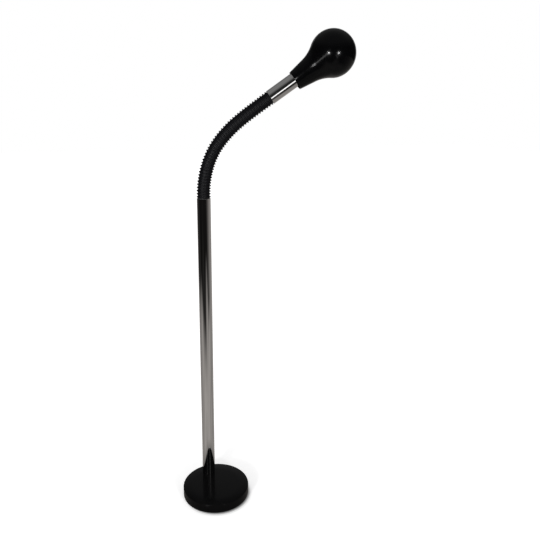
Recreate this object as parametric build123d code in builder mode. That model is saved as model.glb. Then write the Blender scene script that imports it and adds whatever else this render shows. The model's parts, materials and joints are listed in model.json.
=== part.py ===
from build123d import *
from math import atan2, cos, pi, radians, sin, sqrt, tan
import os

# Gooseneck reading floor lamp: a weighted round base, a chromed pole that stands near the back
# of the base, a bendable neck in a ribbed black sleeve, and a pear-shaped black shade that
# turns on its carrier. The origin is the centre of the underside, on the floor. +Z is up, and
# the base reaches further towards -Y, the front, than behind the pole. Millimetres and degrees.

# ---------------------------------------------------------------- driving dimensions

slip = 0.1                  # radial clearance of a piece that slides or screws into another
ball_clearance = 0.2        # between a ball end of the neck core and its socket

# base
base_radius = 91.0
base_height = 30.0
base_edge = 2.0             # rounding of the cover's top edge
cover_wall = 1.2
cover_lift = 5.5            # the cover's lower edge stays this far off the floor
pole_setback = 61.8         # pole axis behind the centre of the base
weight_gap = 0.4            # between the weight's rim and the cover
pad_thickness = 3.5
pad_margin = 3.0            # the felt ends this far inside the plate's rim
plate_thickness = 1.2
plate_margin = 3.0          # the plate ends this far inside the weight's rim
plate_screw_radius = 2.0
plate_screw_head = 3.5
plate_screw_head_height = 1.6
plate_screw_length = 9.0
plate_screw_circle = 74.0
plate_screw_count = 3
plate_screw_start = 150.0
screw_slot = 0.8

# hidden hollows of the weight
recess_radius = 19.0        # room for the nut under the pole
web_thickness = 6.0         # iron left above that room
channel_width = 15.0        # cable way from the inlet, past the nut, to the terminals
channel_height = 15.0
pocket_width = 52.0
pocket_length = 28.0
pocket_centre = 22.0        # in front of the pole, behind the centre

# cable inlet in the back of the cover
inlet_height = 12.6
inlet_hole = 5.0
inlet_bore = 3.5
inlet_flange = 7.0
inlet_lip = 1.5             # thickness of each flange
inlet_play = 0.05

# terminal block
block_width = 24.0
block_length = 18.0
block_height = 12.0
block_hole = 2.2
block_screw = 1.9
block_screw_length = 7.0
block_spacing = 10.0
block_screw_recess = 1.0

# pole and its fastening
tube_radius = 17.5
tube_wall = 1.5
pole_top = 831.0
foot_plug_length = 20.0
top_plug_length = 25.0
foot_nipple_radius = 6.5
foot_nipple_bore = 4.5
foot_nipple_grip = 16.0     # length screwed into the foot plug
foot_washer_radius = 16.0
foot_washer_thickness = 2.0
foot_nut_flats = 19.0
foot_nut_height = 6.0
nipple_overhang = 1.0       # nipple past its nut

# neck: a chain of short links, as the motion of a wound steel core
link_count = 14
ribs_per_link = 3
rib_pitch = 7.4
rib_crest = 17.5
rib_valley = 15.0
rib_top_width = 1.9
sleeve_end_play = 0.25      # room left between two lengths of sleeve at the sharpest bend
core_radius = 11.5
core_bore = 4.5
ball_radius = 9.0
sharpest_bend = 15.0        # between two links, either way
spigot_radius = 6.5
spigot_length = 14.0
neck_heading = -20.0        # the way the neck leans, from +X towards -Y
link_leans = [0, 6.5, 11.5, 16.5, 22.5, 29.5, 35.5, 41, 45.5, 49.5, 52, 53.5, 54, 54.5]

# head
head_tube_bare = 71.5       # chromed tube that shows between sleeve and shade
head_tube_sunk = 22.5       # the rest of it, inside the shade's neck
head_lower_plug_length = 16.0
head_upper_plug_length = 10.0
head_plug_setback = 0.3     # the upper plug ends this far inside the tube, clear of the carrier
head_nipple_radius = 5.0
head_nipple_bore = 3.3
head_nipple_grip = 9.0      # length screwed into the upper plug
carrier_thickness = 1.0
carrier_end_play = 0.1      # the loose carrier's room, above the tube and under the washer
carrier_rim = 7.0
carrier_vent = 3.0
carrier_vent_count = 8
carrier_vent_circle = 18.5
carrier_vent_start = 22.5   # the first vent, round the axis from straight down
carrier_play = 0.2          # between the nipple and the hole of the loose carrier
carrier_washer_radius = 14.0
carrier_washer_thickness = 1.5
carrier_nut_flats = 14.0
carrier_nut_height = 4.0

# shade
shade_neck_radius = 23.2
shade_neck_flare = 9.3      # the neck widens by this angle
shade_hollow_radius = 86.0  # the hollow curve between neck and ball
shade_ball_radius = 56.1
shade_ball_centre = 110.3   # from the open end of the neck
shade_wall = 1.5
shade_sag = 2.4             # the shade hangs this much low on its carrier
mouth_radius = 42.0
mouth_angle = 75.0          # between the shade's axis and the way the mouth faces
mouth_turn = 55.0           # round the axis, from straight down towards the back

# lampholder and bulb
holder_radius = 19.0
holder_wall = 2.0
holder_cap_length = 17.0
holder_cap_floor = 3.0
holder_shell_length = 32.0
holder_bore = 14.4
block_disc_radius = 16.5
block_disc_start = 5.5      # behind it the wires end
block_disc_thickness = 10.0
thread_wall = 0.5
thread_shell_length = 22.0
contact_width = 5.0
contact_rise = 3.0
contact_strip = 0.6
bulb_thread_radius = 13.2
bulb_cap_length = 25.0
bulb_cap_taper = 6.0
bulb_contact_radius = 4.5
bulb_radius = 22.5
bulb_length = 75.0
bulb_neck_radius = 12.4
bulb_glass_overlap = 4.0

# internal lead
lead_radius = 2.8
lead_floor_gap = 0.4        # the lead runs this much above the bottom plate
lead_bend_share = 0.45      # share of the shorter run that an arc of the lead takes up

# ---------------------------------------------------------------- levels and stations

plate_level = pad_thickness
weight_level = plate_level + plate_thickness
cover_inside = base_height - cover_wall
weight_radius = base_radius - cover_wall - weight_gap
plate_radius = weight_radius - plate_margin
recess_top = cover_inside - web_thickness
foot_nut_top = recess_top - foot_washer_thickness
foot_nipple_end = foot_nut_top - foot_nut_height - nipple_overhang
tube_bore = tube_radius - tube_wall
link_length = ribs_per_link * rib_pitch
sleeve_gap = 2 * (rib_valley * tan(radians(sharpest_bend / 2)) + sleeve_end_play)
rib_base_width = rib_pitch - sleeve_gap
sleeve_bore = core_radius + slip
socket_radius = ball_radius + ball_clearance
shoulder = core_radius * tan(radians(sharpest_bend)) + ball_clearance
head_tube_length = head_tube_bare + head_tube_sunk
carrier_level = head_tube_length
washer_level = carrier_level + carrier_thickness + 2 * carrier_end_play
carrier_nut_level = washer_level + carrier_washer_thickness
holder_level = carrier_nut_level + carrier_nut_height
block_disc_level = holder_level + block_disc_start
contact_level = block_disc_level + block_disc_thickness
bulb_level = contact_level + contact_rise + slip

up = Vector(0, 0, 1)
heading = Vector(cos(radians(neck_heading)), sin(radians(neck_heading)), 0)
pole_foot = Vector(0, pole_setback, 0)


def lean_direction(lean):
    """The way up a link that leans this far from upright."""
    return up * cos(radians(lean)) + heading * sin(radians(lean))


def lean_inside(lean):
    """Square to that link, towards the inside of the neck's bend."""
    return heading * cos(radians(lean)) - up * sin(radians(lean))


def section_plane(origin, lean):
    """A plane through a leaning axis: local X is the radius, local Y runs along the axis."""
    across = lean_inside(lean)
    return Plane(origin=origin, x_dir=across, z_dir=across.cross(lean_direction(lean)))


def square_plane(plane, level):
    """The plane square to a section plane's axis, this far along it."""
    return Plane(origin=plane.origin + plane.y_dir * level, x_dir=plane.x_dir, z_dir=plane.y_dir)


# the hinge below each link, and the end of the neck
hinges = [pole_foot + up * pole_top]
for lean in link_leans:
    hinges.append(hinges[-1] + lean_direction(lean) * link_length)

base_section = Plane(origin=(0, 0, 0), x_dir=(1, 0, 0), z_dir=(0, -1, 0))
head_section = section_plane(hinges[-1], link_leans[-1])
shade_origin = head_section.origin + head_section.y_dir * head_tube_bare
shade_section = section_plane(shade_origin + head_section.x_dir * shade_sag, link_leans[-1])


def axis_of(plane):
    """The axis that a section plane's outline is turned about."""
    return Axis(plane.origin, plane.y_dir)


# ---------------------------------------------------------------- base

with BuildPart() as base_pad:
    with BuildSketch():
        Circle(plate_radius - pad_margin)
        with PolarLocations(plate_screw_circle, plate_screw_count, plate_screw_start):
            Circle(plate_screw_head + 1, mode=Mode.SUBTRACT)
    extrude(amount=pad_thickness)
base_pad.part.label = "base_pad"

with BuildPart() as bottom_plate:
    with BuildSketch(Plane.XY.offset(plate_level)):
        Circle(plate_radius)
        with PolarLocations(plate_screw_circle, plate_screw_count, plate_screw_start):
            Circle(plate_screw_radius + slip, mode=Mode.SUBTRACT)
    extrude(amount=plate_thickness)
bottom_plate.part.label = "bottom_plate"

with BuildPart() as bottom_plate_screws:
    with BuildSketch(Plane.XY.offset(plate_level)):
        with PolarLocations(plate_screw_circle, plate_screw_count, plate_screw_start):
            Circle(plate_screw_radius)
    extrude(amount=plate_thickness + plate_screw_length)
    with BuildSketch(Plane.XY.offset(plate_level)):
        with PolarLocations(plate_screw_circle, plate_screw_count, plate_screw_start):
            Circle(plate_screw_head)
    extrude(amount=-plate_screw_head_height)
    with BuildSketch(Plane.XY.offset(plate_level - plate_screw_head_height)):
        with PolarLocations(plate_screw_circle, plate_screw_count, plate_screw_start):
            Rectangle(plate_screw_head * 2, screw_slot)
    extrude(amount=plate_screw_head_height / 2, mode=Mode.SUBTRACT)
bottom_plate_screws.part.label = "bottom_plate_screws"

with BuildPart() as base_weight:
    with BuildSketch(Plane.XY.offset(weight_level)):
        Circle(weight_radius)
    extrude(amount=cover_inside - weight_level)
    with BuildSketch(Plane.XY.offset(weight_level)):
        with Locations((0, pole_setback)):
            Circle(recess_radius)
    extrude(amount=recess_top - weight_level, mode=Mode.SUBTRACT)
    with BuildSketch(Plane.XY.offset(weight_level)):
        with Locations((0, (pocket_centre + base_radius) / 2)):
            Rectangle(channel_width, base_radius - pocket_centre)
        with Locations((0, pocket_centre)):
            Rectangle(pocket_width, pocket_length)
    extrude(amount=channel_height, mode=Mode.SUBTRACT)
    with BuildSketch(Plane.XY.offset(weight_level)):
        with Locations((0, pole_setback)):
            Circle(foot_nipple_radius + slip)
        with PolarLocations(plate_screw_circle, plate_screw_count, plate_screw_start):
            Circle(plate_screw_radius)
    extrude(amount=plate_screw_length + slip, mode=Mode.SUBTRACT)
    with BuildSketch(Plane.XY.offset(recess_top)):
        with Locations((0, pole_setback)):
            Circle(foot_nipple_radius + slip)
    extrude(amount=web_thickness, mode=Mode.SUBTRACT)
base_weight.part.label = "base_weight"

with BuildPart() as base_cover:
    with BuildSketch(base_section):
        with BuildLine():
            Line((0, base_height), (base_radius - base_edge, base_height))
            RadiusArc(
                (base_radius - base_edge, base_height),
                (base_radius, base_height - base_edge),
                base_edge,
            )
            Line((base_radius, base_height - base_edge), (base_radius, cover_lift))
            Line((base_radius, cover_lift), (base_radius - cover_wall, cover_lift))
            Line((base_radius - cover_wall, cover_lift), (base_radius - cover_wall, cover_inside))
            Line((base_radius - cover_wall, cover_inside), (0, cover_inside))
            Line((0, cover_inside), (0, base_height))
        make_face()
    revolve(axis=axis_of(base_section))
    with BuildSketch(Plane.XY.offset(cover_inside)):
        with Locations((0, pole_setback)):
            Circle(foot_nipple_radius + slip)
    extrude(amount=cover_wall, mode=Mode.SUBTRACT)
    with BuildSketch(Plane.XZ.offset(-base_radius - cover_wall)):
        with Locations((0, inlet_height)):
            Circle(inlet_hole)
    extrude(amount=3 * cover_wall, mode=Mode.SUBTRACT)
base_cover.part.label = "base_cover"

# a moulded bush, gripping the cover's wall between its two flanges
inlet_origin = (0, base_radius - cover_wall, inlet_height)
inlet_section = Plane(origin=inlet_origin, x_dir=(1, 0, 0), z_dir=(0, 0, 1))
inlet_back = -inlet_flange**2 / base_radius     # the round wall curves away by this much
inlet_front = cover_wall + inlet_play
with BuildPart() as inlet_grommet:
    with BuildSketch(inlet_section):
        with BuildLine():
            Polyline(
                (inlet_bore, inlet_back - inlet_lip),
                (inlet_flange, inlet_back - inlet_lip),
                (inlet_flange, inlet_back),
                (inlet_hole - inlet_play, inlet_back),
                (inlet_hole - inlet_play, inlet_front),
                (inlet_flange, inlet_front),
                (inlet_flange - inlet_lip / 2, inlet_front + inlet_lip),
                (inlet_bore, inlet_front + inlet_lip),
                close=True,
            )
        make_face()
    revolve(axis=axis_of(inlet_section))
inlet_grommet.part.label = "inlet_grommet"

pocket_top = weight_level + channel_height
with BuildPart() as terminal_block:
    with BuildSketch(Plane.XY.offset(pocket_top)):
        with Locations((0, pocket_centre)):
            Rectangle(block_width, block_length)
            with GridLocations(block_spacing, 0, 2, 1):
                Circle(block_hole, mode=Mode.SUBTRACT)
    extrude(amount=-block_height)
terminal_block.part.label = "terminal_block"

with BuildPart() as terminal_screws:
    with BuildSketch(Plane.XY.offset(pocket_top - block_height + block_screw_recess)):
        with Locations((0, pocket_centre)):
            with GridLocations(block_spacing, 0, 2, 1):
                Circle(block_hole - slip)
    extrude(amount=block_screw_length)
    with BuildSketch(Plane.XY.offset(pocket_top - block_height + block_screw_recess)):
        with Locations((0, pocket_centre)):
            with GridLocations(block_spacing, 0, 2, 1):
                Rectangle(2 * block_hole, screw_slot)
    extrude(amount=block_screw_recess, mode=Mode.SUBTRACT)
terminal_screws.part.label = "terminal_screws"

# ---------------------------------------------------------------- pole

with BuildPart() as foot_nut:
    with BuildSketch(Plane.XY.offset(foot_nut_top - foot_nut_height)):
        with Locations((0, pole_setback)):
            RegularPolygon(foot_nut_flats / 2, 6, major_radius=False)
            Circle(foot_nipple_radius + slip, mode=Mode.SUBTRACT)
    extrude(amount=foot_nut_height)
foot_nut.part.label = "foot_nut"

with BuildPart() as foot_washer:
    with BuildSketch(Plane.XY.offset(foot_nut_top)):
        with Locations((0, pole_setback)):
            Circle(foot_washer_radius)
            Circle(foot_nipple_radius + slip, mode=Mode.SUBTRACT)
    extrude(amount=foot_washer_thickness)
foot_washer.part.label = "foot_washer"

with BuildPart() as foot_nipple:
    with BuildSketch(Plane.XY.offset(foot_nipple_end)):
        with Locations((0, pole_setback)):
            Circle(foot_nipple_radius)
            Circle(foot_nipple_bore, mode=Mode.SUBTRACT)
    extrude(amount=base_height + foot_nipple_grip - foot_nipple_end)
foot_nipple.part.label = "foot_nipple"

with BuildPart() as pole_foot_plug:
    with BuildSketch(Plane.XY.offset(base_height)):
        with Locations((0, pole_setback)):
            Circle(tube_bore - slip)
            Circle(foot_nipple_radius + slip, mode=Mode.SUBTRACT)
    extrude(amount=foot_plug_length)
pole_foot_plug.part.label = "pole_foot_plug"

with BuildPart() as pole_tube:
    with BuildSketch(Plane.XY.offset(base_height)):
        with Locations((0, pole_setback)):
            Circle(tube_radius)
            Circle(tube_bore, mode=Mode.SUBTRACT)
    extrude(amount=pole_top - base_height)
pole_tube.part.label = "pole_tube"

with BuildPart() as pole_top_plug:
    with BuildSketch(Plane.XY.offset(pole_top)):
        with Locations((0, pole_setback)):
            Circle(tube_bore - slip)
            Circle(spigot_radius + slip, mode=Mode.SUBTRACT)
    extrude(amount=-top_plug_length)
pole_top_plug.part.label = "pole_top_plug"

# ---------------------------------------------------------------- neck


def core_link(number):
    """One link of the core: a ball below, a socket above, or a spigot at either end of the neck."""
    plane = section_plane(hinges[number - 1], link_leans[number - 1])
    ball_foot = -sqrt(ball_radius**2 - core_bore**2)
    ball_shoulder = sqrt(ball_radius**2 - shoulder**2)
    socket_floor = link_length - sqrt(socket_radius**2 - core_bore**2)
    socket_side = socket_radius * cos(radians(45))
    with BuildPart() as link:
        with BuildSketch(plane):
            with BuildLine():
                if number == 1:
                    Polyline(
                        (core_bore, -spigot_length),
                        (spigot_radius, -spigot_length),
                        (spigot_radius, 0),
                        (core_radius, 0),
                        (core_radius, link_length),
                    )
                    bore_foot = -spigot_length
                else:
                    ThreePointArc((core_bore, ball_foot), (ball_radius, 0), (ball_shoulder, shoulder))
                    Polyline(
                        (ball_shoulder, shoulder),
                        (core_radius, shoulder),
                        (core_radius, link_length),
                    )
                    bore_foot = ball_foot
                if number == link_count:
                    Polyline(
                        (core_radius, link_length),
                        (spigot_radius, link_length),
                        (spigot_radius, link_length + spigot_length),
                        (core_bore, link_length + spigot_length),
                    )
                    bore_head = link_length + spigot_length
                else:
                    Line((core_radius, link_length), (socket_radius, link_length))
                    ThreePointArc(
                        (socket_radius, link_length),
                        (socket_side, link_length - socket_side),
                        (core_bore, socket_floor),
                    )
                    bore_head = socket_floor
                Line((core_bore, bore_head), (core_bore, bore_foot))
            make_face()
        revolve(axis=axis_of(plane))
    return link.part


def sleeve_length(number):
    """The stretch of ribbed sleeve that one link carries. At a joint it ends at a rib's foot."""
    plane = section_plane(hinges[number - 1], link_leans[number - 1])
    foot = 0 if number == 1 else sleeve_gap / 2
    head = link_length if number == link_count else link_length - sleeve_gap / 2
    outline = [(sleeve_bore, foot)]
    if number == 1:
        outline.append((rib_valley, foot))
    for rib in range(ribs_per_link):
        middle = (rib + 0.5) * rib_pitch
        outline += [
            (rib_valley, middle - rib_base_width / 2),
            (rib_crest, middle - rib_top_width / 2),
            (rib_crest, middle + rib_top_width / 2),
            (rib_valley, middle + rib_base_width / 2),
        ]
    if number == link_count:
        outline.append((rib_valley, head))
    outline.append((sleeve_bore, head))
    with BuildPart() as sleeve:
        with BuildSketch(plane):
            with BuildLine():
                Polyline(*outline, close=True)
            make_face()
        revolve(axis=axis_of(plane))
    return sleeve.part


neck_parts = []
for number in range(1, link_count + 1):
    core = core_link(number)
    core.label = f"core_link_{number:02d}"
    sleeve = sleeve_length(number)
    sleeve.label = f"sleeve_length_{number:02d}"
    neck_parts += [core, sleeve]

# ---------------------------------------------------------------- head tube

with BuildPart() as head_lower_plug:
    with BuildSketch(square_plane(head_section, 0)):
        Circle(tube_bore - slip)
        Circle(spigot_radius + slip, mode=Mode.SUBTRACT)
    extrude(amount=head_lower_plug_length)
head_lower_plug.part.label = "head_lower_plug"

with BuildPart() as head_tube:
    with BuildSketch(square_plane(head_section, 0)):
        Circle(tube_radius)
        Circle(tube_bore, mode=Mode.SUBTRACT)
    extrude(amount=head_tube_length)
head_tube.part.label = "head_tube"

with BuildPart() as head_upper_plug:
    with BuildSketch(square_plane(head_section, head_tube_length - head_plug_setback)):
        Circle(tube_bore - slip)
        Circle(head_nipple_radius + slip, mode=Mode.SUBTRACT)
    extrude(amount=-head_upper_plug_length)
head_upper_plug.part.label = "head_upper_plug"

with BuildPart() as head_nipple:
    with BuildSketch(square_plane(head_section, head_tube_length - head_nipple_grip)):
        Circle(head_nipple_radius)
        Circle(head_nipple_bore, mode=Mode.SUBTRACT)
    extrude(amount=holder_level + holder_cap_floor - head_tube_length + head_nipple_grip)
head_nipple.part.label = "head_nipple"

# ---------------------------------------------------------------- shade and its carrier


class ShadeOutline:
    """Half outline of the shade, as (along the axis, radius): a cone, a hollow arc and a ball."""

    def __init__(self, inset):
        cone = radians(shade_neck_flare)
        along = (cos(cone), sin(cone))
        outward = (-sin(cone), cos(cone))
        self.neck = shade_neck_radius - inset / cos(cone)
        self.ball = shade_ball_radius - inset
        self.hollow = shade_hollow_radius + inset
        reach = self.hollow + self.ball
        start = (outward[0] * self.hollow - shade_ball_centre, self.neck + outward[1] * self.hollow)
        middle = start[0] * along[0] + start[1] * along[1]
        run = -middle - sqrt(middle**2 - start[0]**2 - start[1]**2 + reach**2)
        self.cone_end = (run * along[0], self.neck + run * along[1])
        self.centre = (
            self.cone_end[0] + outward[0] * self.hollow,
            self.cone_end[1] + outward[1] * self.hollow,
        )
        turn_start = atan2(-outward[1], -outward[0])
        turn_end = atan2(-self.centre[1], shade_ball_centre - self.centre[0])
        self.hollow_middle = self.hollow_point((turn_start + turn_end) / 2)
        self.join = self.hollow_point(turn_end)
        ball_turn = atan2(self.join[1], self.join[0] - shade_ball_centre) / 2
        self.ball_middle = (shade_ball_centre + self.ball * cos(ball_turn), self.ball * sin(ball_turn))
        self.tip = (shade_ball_centre + self.ball, 0)

    def hollow_point(self, turn):
        """A point of the hollow arc."""
        return (self.centre[0] + self.hollow * cos(turn), self.centre[1] + self.hollow * sin(turn))

    def radius_at(self, along):
        """Radius of the cone at this distance from the open end."""
        return self.neck + along * tan(radians(shade_neck_flare))


def flat(point):
    """From (along the axis, radius) to the section plane's (X, Y)."""
    return (point[1], point[0])


outside = ShadeOutline(0)
inside = ShadeOutline(shade_wall)
mouth_lean = radians(mouth_angle)
mouth_roll = radians(mouth_turn)
mouth_side = shade_section.x_dir * cos(mouth_roll) - shade_section.z_dir * sin(mouth_roll)
mouth_facing = shade_section.y_dir * cos(mouth_lean) + mouth_side * sin(mouth_lean)
ball_middle = shade_section.origin + shade_section.y_dir * shade_ball_centre
mouth_plane = Plane(
    origin=ball_middle + mouth_facing * sqrt(shade_ball_radius**2 - mouth_radius**2),
    z_dir=mouth_facing,
)

with BuildPart() as shade:
    with BuildSketch(shade_section):
        with BuildLine():
            Line(flat((0, outside.neck)), flat(outside.cone_end))
            ThreePointArc(flat(outside.cone_end), flat(outside.hollow_middle), flat(outside.join))
            ThreePointArc(flat(outside.join), flat(outside.ball_middle), flat(outside.tip))
            Line(flat(outside.tip), flat(inside.tip))
            ThreePointArc(flat(inside.tip), flat(inside.ball_middle), flat(inside.join))
            ThreePointArc(flat(inside.join), flat(inside.hollow_middle), flat(inside.cone_end))
            Line(flat(inside.cone_end), flat((0, inside.neck)))
            Line(flat((0, inside.neck)), flat((0, outside.neck)))
        make_face()
    revolve(axis=axis_of(shade_section))
    split(bisect_by=mouth_plane, keep=Keep.BOTTOM)
shade.part.label = "shade"

carrier_foot = head_tube_sunk + carrier_end_play
carrier_radius = inside.radius_at(carrier_foot) - slip
carrier_hole = head_nipple_radius + shade_sag + carrier_play
with BuildPart() as shade_carrier:
    with BuildSketch(shade_section):
        with BuildLine():
            rim_radius = inside.radius_at(carrier_foot + carrier_rim) - slip
            Polyline(
                (carrier_hole, carrier_foot),
                (carrier_radius, carrier_foot),
                (rim_radius, carrier_foot + carrier_rim),
                (rim_radius - carrier_thickness, carrier_foot + carrier_rim),
                (carrier_radius - carrier_thickness, carrier_foot + carrier_thickness),
                (carrier_hole, carrier_foot + carrier_thickness),
                close=True,
            )
        make_face()
    revolve(axis=axis_of(shade_section))
    with BuildSketch(square_plane(shade_section, carrier_foot)):
        with PolarLocations(carrier_vent_circle, carrier_vent_count, carrier_vent_start):
            Circle(carrier_vent)
    extrude(amount=carrier_thickness, mode=Mode.SUBTRACT)
shade_carrier.part.label = "shade_carrier"

with BuildPart() as carrier_washer:
    with BuildSketch(square_plane(head_section, washer_level)):
        Circle(carrier_washer_radius)
        Circle(head_nipple_radius + slip, mode=Mode.SUBTRACT)
    extrude(amount=carrier_washer_thickness)
carrier_washer.part.label = "carrier_washer"

with BuildPart() as carrier_nut:
    with BuildSketch(square_plane(head_section, carrier_nut_level)):
        RegularPolygon(carrier_nut_flats / 2, 6, major_radius=False)
        Circle(head_nipple_radius + slip, mode=Mode.SUBTRACT)
    extrude(amount=carrier_nut_height)
carrier_nut.part.label = "carrier_nut"

# ---------------------------------------------------------------- lampholder and bulb

with BuildPart() as holder_cap:
    with BuildSketch(square_plane(head_section, holder_level)):
        Circle(holder_radius)
        Circle(head_nipple_radius + slip, mode=Mode.SUBTRACT)
    extrude(amount=holder_cap_floor)
    with BuildSketch(square_plane(head_section, holder_level + holder_cap_floor)):
        Circle(holder_radius)
        Circle(holder_radius - holder_wall, mode=Mode.SUBTRACT)
    extrude(amount=holder_cap_length - holder_cap_floor)
holder_cap.part.label = "holder_cap"

with BuildPart() as holder_block:
    with BuildSketch(square_plane(head_section, block_disc_level)):
        Circle(block_disc_radius)
    extrude(amount=block_disc_thickness)
    with BuildSketch(square_plane(head_section, block_disc_level)):
        with GridLocations(2 * core_bore + holder_wall, 0, 2, 1):
            Circle(block_screw)
    extrude(amount=block_disc_thickness / 2, mode=Mode.SUBTRACT)
holder_block.part.label = "holder_block"

holder_shell_level = holder_level + holder_cap_length
with BuildPart() as holder_shell:
    with BuildSketch(square_plane(head_section, holder_shell_level)):
        Circle(holder_radius)
        Circle(holder_bore, mode=Mode.SUBTRACT)
    extrude(amount=holder_shell_length)
    chamfer(holder_shell.edges().filter_by(GeomType.CIRCLE).group_by(SortBy.RADIUS)[-1]
            .sort_by(axis_of(head_section))[-1], holder_wall)
holder_shell.part.label = "holder_shell"

with BuildPart() as thread_shell:
    with BuildSketch(square_plane(head_section, contact_level)):
        Circle(bulb_thread_radius + slip + thread_wall)
        Circle(bulb_thread_radius + slip, mode=Mode.SUBTRACT)
    extrude(amount=thread_shell_length)
thread_shell.part.label = "thread_shell"

with BuildPart() as holder_contacts:
    with BuildSketch(square_plane(head_section, contact_level)):
        Rectangle(2 * contact_width, contact_width)
    extrude(amount=contact_strip)
    with BuildSketch(square_plane(head_section, contact_level)):
        Circle(contact_width / 2)
    extrude(amount=contact_rise)
holder_contacts.part.label = "holder_contacts"

with BuildPart() as bulb_cap:
    with BuildSketch(head_section):
        with BuildLine():
            Polyline(
                (0, bulb_level),
                (bulb_contact_radius, bulb_level),
                (bulb_contact_radius, bulb_level + contact_strip),
                (bulb_thread_radius, bulb_level + bulb_cap_taper),
                (bulb_thread_radius, bulb_level + bulb_cap_length),
                (bulb_neck_radius, bulb_level + bulb_cap_length),
                (bulb_neck_radius, bulb_level + bulb_cap_length - bulb_glass_overlap),
                (0, bulb_level + bulb_cap_length - bulb_glass_overlap),
                close=True,
            )
        make_face()
    revolve(axis=axis_of(head_section))
bulb_cap.part.label = "bulb_cap"

bulb_neck_radius_in = bulb_neck_radius - slip
bulb_ball_level = bulb_level + bulb_length - bulb_radius
bulb_neck_end = bulb_ball_level - sqrt(bulb_radius**2 - bulb_neck_radius_in**2)
with BuildPart() as bulb_glass:
    with BuildSketch(head_section):
        with BuildLine():
            Polyline(
                (0, bulb_level + bulb_cap_length - bulb_glass_overlap),
                (bulb_neck_radius_in, bulb_level + bulb_cap_length - bulb_glass_overlap),
                (bulb_neck_radius_in, bulb_neck_end),
            )
            ThreePointArc(
                (bulb_neck_radius_in, bulb_neck_end),
                (bulb_radius, bulb_ball_level),
                (0, bulb_ball_level + bulb_radius),
            )
            Line((0, bulb_ball_level + bulb_radius), (0, bulb_level + bulb_cap_length - bulb_glass_overlap))
        make_face()
    revolve(axis=axis_of(head_section))
bulb_glass.part.label = "bulb_glass"

# ---------------------------------------------------------------- internal lead


def lead_arcs(points):
    """The radius of the arc at each inner point of the lead's route."""
    radii = []
    for before, corner, after in zip(points, points[1:], points[2:]):
        arrive = Vector(*corner) - Vector(*before)
        leave = Vector(*after) - Vector(*corner)
        turn = arrive.get_angle(leave)
        radii.append(lead_bend_share * min(arrive.length, leave.length) / tan(radians(turn / 2)))
    print("lead arcs", [round(radius, 1) for radius in radii])
    return radii


lead_floor = weight_level + lead_radius + lead_floor_gap
neck_lead_start = pole_foot + up * (pole_top + link_length / 2)
head_lead_start = hinges[-1] - head_section.y_dir * link_length / 2

# from the terminals, under the nut and up the pole to the middle of the first link
stand_route = [
    (0, pocket_centre + block_length / 2, lead_floor + 1.0),
    (0, pole_setback - 21.8, lead_floor + 1.0),
    (0, pole_setback - 11.8, lead_floor),
    (0, pole_setback - 3.9, lead_floor + 0.8),
    (0, pole_setback - 0.2, lead_floor + 5.4),
    (0, pole_setback, lead_floor + 16.0),
    (0, pole_setback, pole_top + link_length / 2),
]
with BuildPart() as stand_lead:
    with BuildLine() as stand_path:
        FilletPolyline(*stand_route, radius=lead_arcs(stand_route))
    with BuildSketch(Plane(origin=stand_path.line @ 0, z_dir=stand_path.line % 0)):
        Circle(lead_radius)
    sweep(path=stand_path.line)
stand_lead.part.label = "stand_lead"

neck_route = [neck_lead_start] + hinges[1:-1] + [head_lead_start]
neck_route = [(point.X, point.Y, point.Z) for point in neck_route]
with BuildPart() as neck_lead:
    with BuildLine() as neck_path:
        FilletPolyline(*neck_route, radius=lead_arcs(neck_route))
    with BuildSketch(Plane(origin=neck_path.line @ 0, z_dir=neck_path.line % 0)):
        Circle(lead_radius)
    sweep(path=neck_path.line)
neck_lead.part.label = "neck_lead"

with BuildPart() as head_lead:
    with BuildSketch(square_plane(head_section, -link_length / 2)):
        Circle(lead_radius)
    extrude(amount=block_disc_level + link_length / 2)
head_lead.part.label = "head_lead"

for lead, path in ((stand_lead, stand_path), (neck_lead, neck_path)):
    drawn = path.wire().length * pi * lead_radius**2
    print(lead.part.label, "volume over section times length", round(lead.part.volume / drawn, 4))

# ---------------------------------------------------------------- export

base_parts = [base_pad, bottom_plate, bottom_plate_screws, base_weight, base_cover, inlet_grommet,
              terminal_block, terminal_screws]
pole_parts = [foot_nut, foot_washer, foot_nipple, pole_foot_plug, pole_tube, pole_top_plug]
head_parts = [head_lower_plug, head_tube, head_upper_plug, head_nipple, carrier_washer, carrier_nut]
shade_parts = [shade, shade_carrier]
lamp_parts = [holder_cap, holder_block, holder_shell, thread_shell, holder_contacts, bulb_cap, bulb_glass]
lead_parts = [stand_lead, neck_lead, head_lead]

os.makedirs("parts", exist_ok=True)
built = base_parts + pole_parts + head_parts + shade_parts + lamp_parts + lead_parts
for piece in [builder.part for builder in built] + neck_parts:
    export_step(piece, f"parts/{piece.label}.step")
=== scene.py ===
import json
import math

import bpy
from mathutils import Matrix, Vector


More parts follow.
